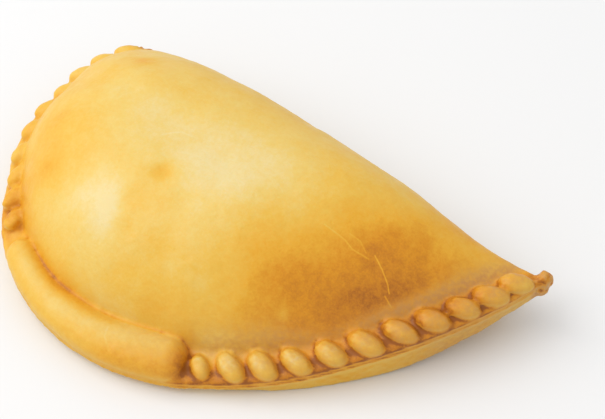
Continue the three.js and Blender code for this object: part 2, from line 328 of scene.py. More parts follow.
@dataclass
class PiePlan:
    """The pie seen from above: a seam from the blunt tip round the front to the sharp tip."""

    round_radius: float = 60.5
    blunt_angle: float = math.radians(153.5)
    runout_angle: float = math.radians(304)
    tip: tuple[float, float] = (89.8, 30.0)
    edge_swell: Stations = (
        (0, 0.8), (0.08, 0.8), (0.105, -0.2), (0.13, -0.9), (0.16, -0.3), (0.2, -0.3),
        (0.225, -0.5), (0.25, -1.2), (0.275, -0.8), (0.3, -0.4), (0.34, 0), (1, 0),
    )
    bow: Stations = ((0, 0), (0.15, 1.6), (0.4, 2.6), (0.65, 1.5), (0.85, -0.4), (1, 0))

    def __post_init__(self) -> None:
        """Fit the run-out arc, which leaves the circle smoothly and ends at the sharp tip."""
        outward = np.array([math.cos(self.runout_angle), math.sin(self.runout_angle)])
        leave = outward * self.round_radius
        chord = np.array(self.tip) - leave
        heading = math.atan2(chord[1], chord[0]) + 2 * math.pi
        half_turn = heading - (self.runout_angle + math.pi / 2)
        self.run_radius = float(np.linalg.norm(chord) / (2 * math.sin(half_turn)))
        self.run_centre = leave - outward * self.run_radius
        self.arc_length = self.round_radius * (self.runout_angle - self.blunt_angle)
        self.length = self.arc_length + self.run_radius * 2 * half_turn
        self.fold_start = self.seam_at(np.array([0.0]))[0][0]
        self.fold_chord = np.array(self.tip) - self.fold_start
        self.fold_length = float(np.linalg.norm(self.fold_chord))
        self.fold_direction = self.fold_chord / self.fold_length
        self.fold_outward = np.array([-self.fold_direction[1], self.fold_direction[0]])

    def edge_radius(self, place: np.ndarray) -> np.ndarray:
        """Tell how far the edge of the round side lies from its centre."""
        return self.round_radius + along(self.edge_swell, place)

    def seam_at(self, place: np.ndarray) -> tuple[np.ndarray, np.ndarray]:
        """Find the seam's edge.

        Args:
            place: Places along the seam, 0 at the blunt tip and 1 at the sharp tip.

        Returns:
            The points of the edge and their outward directions, in plan.
        """
        s = place * self.length
        on_round = s <= self.arc_length
        round_angle = self.blunt_angle + s / self.round_radius
        run_angle = self.runout_angle + (s - self.arc_length) / self.run_radius
        angle = np.where(on_round, round_angle, run_angle)
        outward = np.stack([np.cos(angle), np.sin(angle)], -1)
        on_circle = outward * self.edge_radius(place)[:, None]
        on_run = self.run_centre + outward * self.run_radius
        return np.where(on_round[:, None], on_circle, on_run), outward

    def from_seam(self, x: np.ndarray, y: np.ndarray) -> tuple[np.ndarray, np.ndarray]:
        """Tell how far plan points lie inside the seam's edge, and the places they face."""
        angle = wrap_angle(np.arctan2(y, x))
        on_round = angle <= self.runout_angle
        dx = x - self.run_centre[0]
        dy = y - self.run_centre[1]
        run = self.run_radius * (wrap_angle(np.arctan2(dy, dx)) - self.runout_angle)
        arc = self.round_radius * (angle - self.blunt_angle)
        place = np.clip(np.where(on_round, arc, self.arc_length + run) / self.length, 0.0, 1.0)
        in_round = self.edge_radius(place) - np.hypot(x, y)
        return np.where(on_round, in_round, self.run_radius - np.hypot(dx, dy)), place

    def from_fold(self, x: np.ndarray, y: np.ndarray) -> tuple[np.ndarray, np.ndarray]:
        """Tell how far plan points lie inside the fold, and their places along it, 0 to 1."""
        offset = np.stack([x, y], -1) - self.fold_start
        place = offset @ self.fold_direction / self.fold_length
        return along(self.bow, place) - offset @ self.fold_outward, place

    def outline(self, seam_steps: int, fold_steps: int) -> np.ndarray:
        """Walk round the pie's edge: the seam to the sharp tip, then the fold back."""
        seam = self.seam_at(np.linspace(0.0, 1.0, seam_steps + 1))[0]
        place = 1.0 - np.arange(1, fold_steps) / fold_steps
        fold = self.fold_start + place[:, None] * self.fold_chord
        fold = fold + along(self.bow, place)[:, None] * self.fold_outward
        return np.vstack([seam, fold])


@dataclass
class PieHeights:
    """How high the pie's skin lies over each point of its plan."""

    plan: PiePlan
    height: float = 37.0
    seam_height: Stations = (
        (0, 13.3), (0.13, 13), (0.24, 10.5), (0.34, 7.5), (0.46, 5.5),
        (0.6, 5.3), (0.7, 7.5), (0.8, 12), (0.9, 14.9), (1, 16.3),
    )
    shelf_width: Stations = (
        (0, 3.8), (0.15, 3.8), (0.26, 4.6), (0.36, 7.6), (0.42, 8.2), (0.46, 9.4),
        (0.5, 10.4), (0.56, 11.2), (0.6, 10.2), (0.68, 7.8), (1, 7.2),
    )
    shelf_rise: float = 2.0
    seam_thickness: float = 3.0
    flank_width: Stations = ((0, 40), (0.6, 40), (0.8, 46), (1, 52))
    flank_roundness: Stations = ((0, 1.45), (0.6, 1.4), (0.78, 1.15), (1, 1))
    flank_power: float = 2.4
    nose_height: Stations = (
        (0, 13), (0.1, 12.3), (0.3, 12), (0.7, 12), (0.85, 13), (0.94, 14.8), (1, 16.3),
    )
    nose_depth: float = 33.0
    nose_power: float = 2.3
    under_nose_depth: float = 15.0
    tip_lift: Stations = ((0, 6), (0.05, 2), (0.12, 0), (0.8, 0), (0.9, 2), (1, 10.5))
    base_inset: Stations = (
        (0, 4), (0.3, 3), (0.6, 2.4), (0.7, 1.5), (0.78, 1.4), (0.84, 1.2), (0.9, 1.5), (1, 0.8),
    )
    base_power: float = 2.2
    thinnest: float = 0.6
    dome_waves: tuple[tuple[float, float, float, float], ...] = (
        (0.45, 0.075, 0.04, 0.6), (0.35, -0.05, 0.11, 2.1), (0.3, 0.13, -0.06, 4.0),
    )

    def seam_top(self, place: np.ndarray) -> np.ndarray:
        """Tell how high the seam's edge lies."""
        return along(self.seam_height, place)

    def top(self, x: np.ndarray, y: np.ndarray) -> np.ndarray:
        """Tell how high the upper skin lies over plan points."""
        depth, place = self.plan.from_seam(x, y)
        fold_depth, fold_place = self.plan.from_fold(x, y)
        shelf = along(self.shelf_width, place)
        foot = self.seam_top(place) + self.shelf_rise * np.clip(depth / shelf, 0.0, 1.0)
        t = np.clip((depth - shelf) / along(self.flank_width, place), 0.0, 1.0)
        climb = (1.0 - (1.0 - t) ** self.flank_power) ** (1.0 / along(self.flank_roundness, place))
        waves = sum(h * np.sin(fx * x + fy * y + p) for h, fx, fy, p in self.dome_waves)
        dome = foot + (self.height - foot) * climb + waves * climb * (1.0 - 0.6 * climb)
        nose = np.minimum(along(self.nose_height, fold_place), dome)
        g = np.clip(fold_depth / self.nose_depth, 0.0, 1.0)
        return nose + (dome - nose) * np.sqrt(1.0 - (1.0 - g) ** self.nose_power)

    def base(self, x: np.ndarray, y: np.ndarray) -> np.ndarray:
        """Tell how high the lower skin lies over plan points."""
        depth, place = self.plan.from_seam(x, y)
        fold_depth, fold_place = self.plan.from_fold(x, y)
        lip = np.maximum(self.seam_top(place) - self.seam_thickness, 0.0)
        t = np.clip(depth / along(self.base_inset, place), 0.0, 1.0)
        under_seam = lip * np.sqrt(1.0 - t**self.base_power)
        g = np.clip(fold_depth / self.under_nose_depth, 0.0, 1.0)
        nose = along(self.nose_height, fold_place)
        under_nose = nose * (1.0 - np.sqrt(1.0 - (1.0 - g) ** self.nose_power))
        lifted = np.maximum(along(self.tip_lift, fold_place), 0.0)
        highest = np.maximum(np.maximum(under_seam, under_nose), lifted)
        return np.minimum(highest, self.top(x, y) - self.thinnest)


# ------------------------------------------------------------------ pieces of dough


@dataclass
class DomeBody:
    """The filled body: dome, shelf of the seam, rounded fold and flat base."""

    heights: PieHeights
    seam_steps: int = 420
    fold_steps: int = 220
    top_rings: int = 84
    base_rings: int = 26
    base_reach: float = 0.35
    ring_power: float = 1.6
    middle: tuple[float, float] = (4.0, -2.0)

    def build(self) -> bpy.types.Object:
        """Build the closed body as rings drawn in from its outline."""
        outline = self.heights.plan.outline(self.seam_steps, self.fold_steps)
        centre = np.array(self.middle)
        rings: Rings = []
        for i in reversed(range(self.base_rings)):
            share = self.base_reach * (i / (self.base_rings - 1)) ** self.ring_power
            rings.append(self.ring(outline, centre, share, self.heights.base))
        for i in range(self.top_rings):
            share = (i / self.top_rings) ** self.ring_power
            rings.append(self.ring(outline, centre, share, self.heights.top))
        summit = float(self.heights.top(centre[:1], centre[1:])[0])
        return loft("body", rings, np.array([*centre, 0.0]), np.array([*centre, summit]))

    @staticmethod
    def ring(outline: np.ndarray, centre: np.ndarray, share: float, height: Any) -> np.ndarray:
        """Draw the outline in by a share of the way, at the height of its skin."""
        flat = outline * (1.0 - share) + centre * share
        return np.column_stack([flat, height(flat[:, 0], flat[:, 1])])


@dataclass(frozen=True)
class BeadRow:
    """Where one row of the crimp lies on the seam."""

    name: str
    count: int
    start: float
    stop: float
    lift: float
    first_scale: float
    last_scale: float
    inset: Stations
    yaw: Stations
    seed: int

    def shares(self, crowding: float) -> np.ndarray:
        """Spread the beads from 0 to 1 along the row, a little closer together at its ends."""
        even = np.linspace(0.0, 1.0, self.count)
        return even - crowding * np.sin(2 * math.pi * even)

    def scales(self) -> np.ndarray:
        """Give each bead's size, the first and last ones smaller."""
        sizes = np.ones(self.count)
        sizes[0] = self.first_scale
        sizes[-1] = self.last_scale
        return sizes


@dataclass
class BeadFrames:
    """Where beads lie: their middles, half sizes and own directions, in millimetres."""

    middle: np.ndarray
    half: np.ndarray
    axes: np.ndarray

    def nearest(self, points: np.ndarray) -> tuple[np.ndarray, np.ndarray]:
        """Describe points from the bead that each is nearest to.

        Args:
            points: Places, one a row.

        Returns:
            Their places along, across and up from that bead, as shares of its half sizes,
            and how far out they lie, 1 being its skin.
        """
        offset = points[:, None, :] - self.middle[None]
        local = np.einsum("pbi,bji->pbj", offset, self.axes) / self.half
        reach = np.linalg.norm(local, axis=2)
        best = reach.argmin(1)
        return local[np.arange(len(points)), best], reach.min(1)


@dataclass
class CrimpBeads:
    """The crimp: plump beads that lie slantwise over the seam, inner end high."""

    heights: PieHeights
    length: float = 9.6
    width: float = 5.8
    height: float = 5.0
    dip: float = math.radians(6)
    unevenness: float = 0.07
    taper: float = 0.08
    collar: float = 0.03
    collar_place: float = 0.27
    collar_width: float = 0.09
    crowding: float = 0.013
    ripple: float = 0.03
    segments: int = 28
    rings: int = 18
    rows: tuple[BeadRow, ...] = (
        BeadRow(
            "left_beads", 10, 0.022, 0.31, 2.0, 0.9, 0.85,
            ((0, 3.8), (1, 4)),
            ((0, 38), (1, 38)),
            3,
        ),
        BeadRow(
            "right_beads", 11, 0.626, 0.968, 1.8, 0.75, 0.95,
            ((0, 4), (0.4, 3.4), (0.6, 3.8), (0.8, 3.3), (1, 2.7)),
            ((0, 70), (0.1, 54), (0.2, 47), (0.4, 44), (0.5, 40), (0.6, 36), (0.8, 34), (1, 34)),
            8,
        ),
    )

    def build(self) -> list[bpy.types.Object]:
        """Build each row as a plain mesh."""
        tree = self.make_tree()
        return [self.build_row(row, tree) for row in self.rows]

    def frames(self, built: list[bpy.types.Object]) -> BeadFrames:
        """Read where the beads of built rows lie.

        Args:
            built: The rows' plain meshes, before they are fused with anything.

        Returns:
            The frames of all their beads.
        """
        size = self.segments * (self.rings - 1) + 2
        points = np.vstack([read_points(row.data) for row in built]).reshape(-1, size, 3)
        quarter = 1 + (self.rings // 2 - 1) * self.segments + self.segments // 4
        long_way = points[:, 0] - points[:, -1]
        across = points[:, quarter] - points[:, quarter + self.segments // 2]
        long_half = np.linalg.norm(long_way, axis=1) / 2
        across_half = np.linalg.norm(across, axis=1) / 2
        along_unit = long_way / (2 * long_half[:, None])
        across_unit = across / (2 * across_half[:, None])
        up_unit = np.cross(along_unit, across_unit)
        half = np.column_stack([long_half, across_half, across_half * self.height / self.width])
        axes = np.stack([along_unit, across_unit, up_unit], 1)
        return BeadFrames(points.mean(1), half, axes)

    def stations(self, row: BeadRow) -> np.ndarray:
        """Find the middles of a row's beads."""
        share = row.shares(self.crowding)
        place = row.start + (row.stop - row.start) * share
        point, outward = self.heights.plan.seam_at(place)
        flat = point - outward * along(row.inset, share)[:, None]
        return np.column_stack([flat, self.heights.seam_top(place) + row.lift])

    def measures(self) -> dict[str, float]:
        """Name the sizes that the tree takes."""
        return {
            "Bead Length": self.length * MM,
            "Bead Width": self.width * MM,
            "Bead Height": self.height * MM,
            "Dip": self.dip,
            "Unevenness": self.unevenness,
            "Taper": self.taper,
            "Collar": self.collar,
            "Ripple": self.ripple,
        }

    def build_row(self, row: BeadRow, tree: bpy.types.NodeTree) -> bpy.types.Object:
        """Lay beads along a row's path.

        Args:
            row: The row to build.
            tree: The tree that lays beads on a path.

        Returns:
            The beads as one plain mesh object.
        """
        path = bpy.data.meshes.new(row.name)
        links = [(i, i + 1) for i in range(row.count - 1)]
        path.from_pydata((self.stations(row) * MM).tolist(), links, [])
        write_attribute(path, "bead_scale", row.scales())
        write_attribute(path, "bead_yaw", np.radians(along(row.yaw, row.shares(self.crowding))))
        carrier = place_object(row.name, path)
        modifier = carrier.modifiers.new("beads", "NODES")
        modifier.node_group = tree
        values = {**self.measures(), "Seed": row.seed}
        for item in tree.interface.items_tree:
            if item.item_type == "SOCKET" and item.in_out == "INPUT" and item.name in values:
                modifier[item.identifier] = values[item.name]
        return evaluated_copy(carrier, row.name)

    def make_tree(self) -> bpy.types.NodeTree:
        """Build the tree that lays slanted beads on the points of a path."""
        tree = bpy.data.node_groups.new("crimp_beads", "GeometryNodeTree")
        tree.is_modifier = True
        tree.interface.new_socket("Geometry", in_out="INPUT", socket_type="NodeSocketGeometry")
        for name in self.measures():
            tree.interface.new_socket(name, in_out="INPUT", socket_type="NodeSocketFloat")
        tree.interface.new_socket("Seed", in_out="INPUT", socket_type="NodeSocketInt")
        tree.interface.new_socket("Geometry", in_out="OUTPUT", socket_type="NodeSocketGeometry")

        nodes = Nodes(tree)
        given = nodes.add("NodeGroupInput", {}).outputs
        path = nodes.add("GeometryNodeMeshToCurve", {"Mesh": given["Geometry"]})
        points = nodes.add("GeometryNodeCurveToPoints", {"Curve": path.outputs[0]}, mode="EVALUATED")
        instances = nodes.add(
            "GeometryNodeInstanceOnPoints",
            {
                "Points": points.outputs["Points"],
                "Instance": self.add_bead(nodes, given),
                "Rotation": self.add_slant(nodes, given, points.outputs["Tangent"]),
                "Scale": self.add_sizes(nodes, given),
            },
        )
        real = nodes.add("GeometryNodeRealizeInstances", {"Geometry": instances.outputs[0]})
        dough = bpy.data.materials.new("raw_dough")
        dressed = {"Geometry": real.outputs[0], "Material": dough}
        coated = nodes.add("GeometryNodeSetMaterial", dressed)
        nodes.add("NodeGroupOutput", {"Geometry": coated.outputs[0]})
        return tree

    def add_bead(self, nodes: Nodes, given: Any) -> bpy.types.NodeSocket:
        """Shape one bead: tapered, with a rippled collar at its inner end."""
        sizes = {"Segments": self.segments, "Rings": self.rings, "Radius": 0.5}
        ball = nodes.add("GeometryNodeMeshUVSphere", sizes).outputs[0]
        lying = {"Geometry": ball, "Rotation": (0.0, math.pi / 2, 0.0)}
        turned = nodes.add("GeometryNodeTransform", lying).outputs[0]
        here = nodes.add("GeometryNodeInputPosition", {}).outputs[0]
        apart = nodes.add("ShaderNodeSeparateXYZ", {0: here}).outputs

        narrowing = nodes.math("MULTIPLY", apart["X"], given["Taper"])
        away = nodes.math("ADD", apart["X"], self.collar_place)
        away = nodes.math("POWER", nodes.math("DIVIDE", away, self.collar_width), 2.0)
        bell = nodes.math("EXPONENT", nodes.math("MULTIPLY", away, -1.0))
        collar = nodes.math("MULTIPLY", bell, given["Collar"])
        around = nodes.math("ARCTAN2", apart["Z"], apart["Y"])
        wave = nodes.math("SINE", nodes.math("MULTIPLY", around, PLEATS))
        inner = nodes.ramp(apart["X"], -0.05, -0.3)
        ripple = nodes.math("MULTIPLY", nodes.math("MULTIPLY", wave, inner), given["Ripple"])
        girth = nodes.math("ADD", nodes.math("ADD", collar, ripple), 1.0)
        girth = nodes.math("SUBTRACT", girth, narrowing)

        shaped = nodes.vector("MULTIPLY", here, nodes.xyz(1.0, girth, girth))
        size = nodes.xyz(given["Bead Length"], given["Bead Width"], given["Bead Height"])
        placed = {"Geometry": turned, "Position": nodes.vector("MULTIPLY", shaped, size)}
        return nodes.add("GeometryNodeSetPosition", placed).outputs[0]

    def add_slant(self, nodes: Nodes, given: Any, tangent: Any) -> bpy.types.NodeSocket:
        """Turn each bead outwards from the seam's direction and dip its outer end."""
        least, most = self.limits(nodes, given)
        between = {"Min": least, "Max": most, "Seed": given["Seed"]}
        random = nodes.add("FunctionNodeRandomValue", between, data_type="FLOAT").outputs[1]
        yaw = nodes.math("MULTIPLY", self.stored(nodes, "bead_yaw"), random)
        level = nodes.vector("NORMALIZE", nodes.vector("MULTIPLY", tangent, (1.0, 1.0, 0.0)))
        outwards = {"Vector": level, "Angle": nodes.math("MULTIPLY", yaw, -1.0)}
        flat = nodes.add("ShaderNodeVectorRotate", outwards, rotation_type="Z_AXIS").outputs[0]
        fall = nodes.math("MULTIPLY", nodes.math("TANGENT", given["Dip"]), -1.0)
        lengthwise = nodes.vector("ADD", flat, nodes.xyz(0.0, 0.0, fall))
        axes = {"Primary Axis": lengthwise, "Secondary Axis": (0.0, 0.0, 1.0)}
        turn = nodes.add("FunctionNodeAxesToRotation", axes, primary_axis="X", secondary_axis="Z")
        return turn.outputs[0]

    def add_sizes(self, nodes: Nodes, given: Any) -> bpy.types.NodeSocket:
        """Make each bead a little larger or smaller than its stored size."""
        least, most = self.limits(nodes, given)
        between = {
            "Min": nodes.xyz(least, least, least),
            "Max": nodes.xyz(most, most, most),
            "Seed": nodes.math("ADD", given["Seed"], 100.0),
        }
        random = nodes.add("FunctionNodeRandomValue", between, data_type="FLOAT_VECTOR")
        return nodes.scaled(random.outputs[0], self.stored(nodes, "bead_scale"))

    @staticmethod
    def limits(nodes: Nodes, given: Any) -> tuple[Any, Any]:
        """Find the least and the most share of its even size that a bead may have."""
        uneven = given["Unevenness"]
        return nodes.math("SUBTRACT", 1.0, uneven), nodes.math("ADD", 1.0, uneven)

    @staticmethod
    def stored(nodes: Nodes, name: str) -> bpy.types.NodeSocket:
        """Read a number stored on the path's points."""
        kind = "GeometryNodeInputNamedAttribute"
        return nodes.add(kind, {"Name": name}, data_type="FLOAT").outputs[0]


@dataclass
class FoldedRoll:
    """The smooth roll at the front, where the seam's lip is turned over once."""

    heights: PieHeights
    start: float = 0.339
    stop: float = 0.612
    overhang: float = 0.3
    lift: float = 1.2
    half_width: Stations = (
        (0.339, 4.6), (0.4, 5), (0.45, 6), (0.5, 6.5), (0.56, 6.9), (0.612, 6.6),
    )
    flatness: float = 0.5
    least_half_height: float = 1.85
    end: float = 6.0
    steps: int = 150
    sides: int = 40

    def spine(self, share: np.ndarray) -> tuple[np.ndarray, np.ndarray, np.ndarray]:
        """Find the roll's middle line, its outward directions and its half widths."""
        place = self.start + (self.stop - self.start) * share
        point, outward = self.heights.plan.seam_at(place)
        half_width = along(self.half_width, place)
        flat = point + outward * (self.overhang - half_width)[:, None]
        return np.column_stack([flat, self.heights.seam_top(place) + self.lift]), outward, half_width

    def build(self) -> bpy.types.Object:
        """Build the roll as a flattened sausage with round ends."""
        span = (self.stop - self.start) * self.heights.plan.length
        share = (1.0 - np.cos(math.pi * np.arange(1, self.steps) / self.steps)) / 2.0
        to_end = np.minimum(share, 1.0 - share) * span
        girth = np.sqrt(1.0 - (1.0 - np.minimum(to_end / self.end, 1.0)) ** 2)
        middle, outward, half_width = self.spine(share)
        turn = 2 * math.pi * np.arange(self.sides) / self.sides
        rings: Rings = []
        for at, out, half, thick in zip(middle, outward, half_width, girth):
            half_height = self.least_half_height + self.flatness * half
            across = half * thick * np.cos(turn)
            rise = -half_height * thick * np.sin(turn)
            flat = at[:2] + out * across[:, None]
            rings.append(np.column_stack([flat, at[2] + rise]))
        ends = self.spine(np.array([0.0, 1.0]))[0]
        return loft("roll", rings, ends[0], ends[1])


@dataclass(frozen=True)
class Knob:
    """One pinched end of the seam."""

    name: str
    place: float
    half_size: tuple[float, float, float]
    height: float
    inset: float
    seed: int


@dataclass
class PinchedTips:
    """The rough knobs of dough where the seam is pinched off."""

    plan: PiePlan
    roughness: float = 0.55
    knobs: tuple[Knob, ...] = (
        Knob("sharp_knob", 1.0, (1.9, 2.7, 4.3), 13.6, 0.9, 5),
        Knob("blunt_knob", 0.0, (3.0, 2.8, 2.4), 11.4, 4.0, 9),
    )

    def build(self) -> list[bpy.types.Object]:
        """Build both knobs."""
        return [self.build_knob(knob) for knob in self.knobs]

    def build_knob(self, knob: Knob) -> bpy.types.Object:
        """Build one lumpy knob on the seam."""
        bpy.ops.mesh.primitive_ico_sphere_add(subdivisions=5, radius=MM)
        ball = bpy.context.active_object
        ball.name = knob.name
        unit = read_points(ball.data)
        lumps = noise_field(unit * 3.0, 1.6, knob.seed, 3)
        points = unit * (np.array(knob.half_size) + self.roughness * lumps[:, None])
        place = np.array([knob.place])
        point, outward = self.plan.seam_at(place)
        flat = point[0] - outward[0] * knob.inset
        write_points(ball.data, points + np.array([*flat, knob.height]))
        return ball


# ------------------------------------------------------------------ finish


class BakeTone(Enum):
    """Colours the dough takes as it bakes, from the palest to the darkest, then matt tan, linear."""

    CREAM = (0.74, 0.59, 0.27)
    STRAW = (0.74, 0.52, 0.135)
    GOLD = (0.74, 0.445, 0.062)
    AMBER = (0.73, 0.365, 0.024)
    RUSSET = (0.64, 0.255, 0.008)
    BROWN = (0.49, 0.17, 0.008)
    DARK = (0.30, 0.09, 0.008)
    TAN = (0.55, 0.27, 0.068)


@dataclass(frozen=True)
class Spot:
    """A patch of the dome that bakes darker, or paler where strength is below 0."""

    x: float
    y: float
    long: float
    short: float
    heading: float
    strength: float

    def weight(self, points: np.ndarray) -> np.ndarray:
        """Tell how much of the spot each point takes."""
        dx = points[:, 0] - self.x
        dy = points[:, 1] - self.y
        c = math.cos(math.radians(self.heading))
        s = math.sin(math.radians(self.heading))
        u = (dx * c + dy * s) / self.long
        v = (-dx * s + dy * c) / self.short
        return self.strength * np.exp(-0.5 * (u * u + v * v))


@dataclass(frozen=True)
class SeamPatch:
    """A patch along the seam: its middle's place and depth, its reach, and its strength."""

    place: float
    depth: float
    reach_along: float
    reach_in: float
    strength: float

    def weight(self, run: np.ndarray, depth: np.ndarray) -> np.ndarray:
        """Tell how much of the patch each point takes, from its run along the seam and depth."""
        u = run / self.reach_along
        v = (depth - self.depth) / self.reach_in
        return self.strength * np.exp(-0.5 * (u * u + v * v))


@dataclass(frozen=True)
class Wrinkle:
    """A thin line of the skin from point to point in plan, dark where strength is below 0, which
    paints shade, with some browning, along the crease and round the roll's end.
    """

    path: tuple[tuple[float, float], ...]
    width: float
    strength: float
    ridge_width: float = 0.5

    def ridge(self, points: np.ndarray) -> np.ndarray:
        """Tell how much of the wrinkle's soft ridge each point takes."""
        flat = points[:, :2]
        near = np.full(len(flat), 1e9)
        for start, end in zip(self.path[:-1], self.path[1:]):
            a = np.array(start)
            ab = np.array(end) - a
            t = np.clip((flat - a) @ ab / (ab @ ab), 0.0, 1.0)
            near = np.minimum(near, np.hypot(*(flat - a - t[:, None] * ab).T))
        return np.exp(-0.5 * (near / self.ridge_width) ** 2)

    def add_line(self, nodes: Nodes, plan: Any) -> bpy.types.NodeSocket:
        """Draw the wrinkle's thin line.

        Args:
            nodes: The material's tree.
            plan: The place in plan, in metres.

        Returns:
            A number that is 1 on the line and 0 away from it.
        """
        near: Any = 1.0
        for start, end in zip(self.path[:-1], self.path[1:]):
            a = Vector((*start, 0.0)) * MM
            ab = Vector((*end, 0.0)) * MM - a
            offset = nodes.vector("SUBTRACT", plan, a)
            forward = nodes.vector("DOT_PRODUCT", offset, ab, result="Value")
            foot = nodes.math("MULTIPLY", forward, 1.0 / ab.length_squared, clamp=True)
            away = nodes.vector("DISTANCE", offset, nodes.scaled(ab, foot), result="Value")
            near = nodes.math("MINIMUM", near, away)
        return nodes.ramp(near, self.width * MM, 0.0)


WRINKLES: tuple[Wrinkle, ...] = (
    Wrinkle(((41.4, -3.6), (43.9, -3.2), (47.3, -2.7), (50.2, -3.0), (54.5, -1.7)), 0.35, 0.14),
    Wrinkle(((47.6, -0.7), (50.5, -0.1), (53.3, -1.1)), 0.3, 0.10),
    Wrinkle(((55.3, 0.1), (58.5, -0.9), (61.5, -2.2), (62.8, -3.2)), 0.32, 0.22),
    Wrinkle(((62.4, -4.4), (64.8, -4.7)), 0.32, 0.18),
    # The next three wrinkles are dark: painted shade, with some browning, along the crease above the
    # roll and round the roll's right end.
    Wrinkle(
        (
            (-25.2, -46.9), (-20.8, -48.2), (-16.5, -49.6), (-11.1, -50.7),
            (-5.5, -51.1), (0, -50.8), (5.3, -50),
        ),
        0.4, -0.05,
    ),
    Wrinkle(((5.3, -50), (10.5, -48.6), (15.5, -46.8), (20.5, -44.9)), 0.7, -0.10),
    Wrinkle(
        (
            (20.5, -44.9), (23.3, -43.5), (25.8, -42.8), (28.0, -43.3),
            (30.1, -44.9), (31.3, -47.1), (31.7, -49.2),
        ),
        0.9, -0.16,
    ),
    Wrinkle(((-9.1, -10.2), (-7.5, -8.0), (-5.5, -6.3), (-2.7, -5.8)), 0.5, 0.08),
    Wrinkle(((9.2, -53.0), (10.5, -55.6), (13.7, -57.5)), 0.5, 0.10),
)
RAISED_WRINKLES = WRINKLES[:4]


